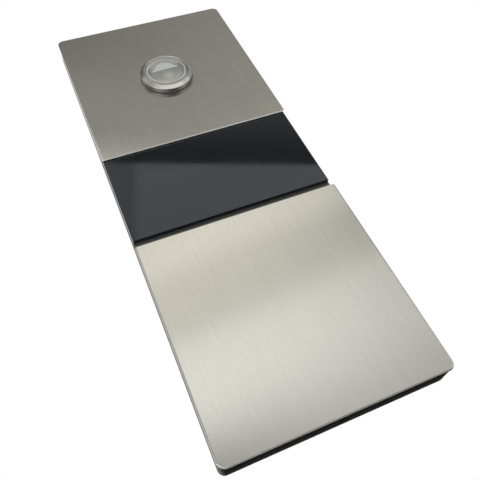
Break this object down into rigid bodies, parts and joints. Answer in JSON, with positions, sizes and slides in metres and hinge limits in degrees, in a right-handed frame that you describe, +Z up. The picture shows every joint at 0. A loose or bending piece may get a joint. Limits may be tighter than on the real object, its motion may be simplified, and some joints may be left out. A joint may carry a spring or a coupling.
{
  "type": "elevator call button panel",
  "caption": "Slim wall panel for calling a lift: brushed stainless covers above and below a gloss black band, with a sprung, lit up-arrow push button.",
  "frame": {"origin": "middle of the panel on the wall plane, at the back of the wall plate", "axes": "+Z up the panel, +X to the right seen from the front, the front faces -Y"},
  "size_m": [0.108, 0.0192, 0.277],
  "materials": {
    "stainless_cover": "long grain brushed, satin",
    "bezel_steel": "turned, fine satin with a polished bevel",
    "zinc_steel": "zinc plated, dull",
    "spring_steel": "bright drawn wire",
    "black_screw": "black zinc",
    "shell_black": "fine spark texture",
    "window_black": "high gloss",
    "seal_black": "matt",
    "lens_clear": "clear, polished",
    "legend_grey": "silver grey print, satin",
    "arrow_white": "white, satin",
    "diffuser_white": "frosted white",
    "nylon_black": "moulded, satin",
    "switch_black": "moulded",
    "plunger_red": "moulded",
    "board_green": "solder mask",
    "led_white": "moulded package",
    "header_ivory": "moulded",
    "connector_green": "moulded",
    "chip_black": "moulded",
    "can_aluminium": "drawn can",
    "ribbon_grey": "flat cable, matt"
  },
  "bodies": {
    "panel": {"wall_plate": "zinc_steel", "cable_grommet": "seal_black", "locking_screw": "black_screw", "front_shell": "shell_black", "upper_cover": "stainless_cover", "lower_cover": "stainless_cover", "cover_nuts": "zinc_steel", "band_window": "window_black", "window_screws": "zinc_steel", "button_bezel": "bezel_steel", "bezel_gasket": "seal_black", "button_nut": "zinc_steel", "return_spring": "spring_steel", "button_base": "nylon_black", "button_board": "board_green", "button_board_screws": "zinc_steel", "call_leds": "led_white", "button_switch": "switch_black", "button_header": "header_ivory", "main_board": "board_green", "main_board_screws": "zinc_steel", "field_connector": "connector_green", "main_header": "header_ivory", "controller_chips": "chip_black", "board_capacitors": "can_aluminium", "buzzer": "chip_black", "ribbon_harness": "ribbon_grey"},
    "button": {"pressel": "lens_clear", "legend_disc": "legend_grey", "arrow_symbol": "arrow_white", "light_diffuser": "diffuser_white"},
    "plunger": {"switch_plunger": "plunger_red"}
  },
  "joints": [
    {"name": "button_press", "type": "slide", "parent": "panel", "child": "button", "axis": [0, 1, 0], "range_m": [0, 0.0012], "stiffness_N_per_m": 1500, "springref_m": -0.001, "deforming": ["return_spring"]},
    {"name": "plunger_slide", "type": "slide", "parent": "panel", "child": "plunger", "axis": [0, 1, 0], "range_m": [0, 0.0012]}
  ],
  "couplings": [
    {"joint": "plunger_slide", "follows": "button_press", "ratio": 1}
  ]
}
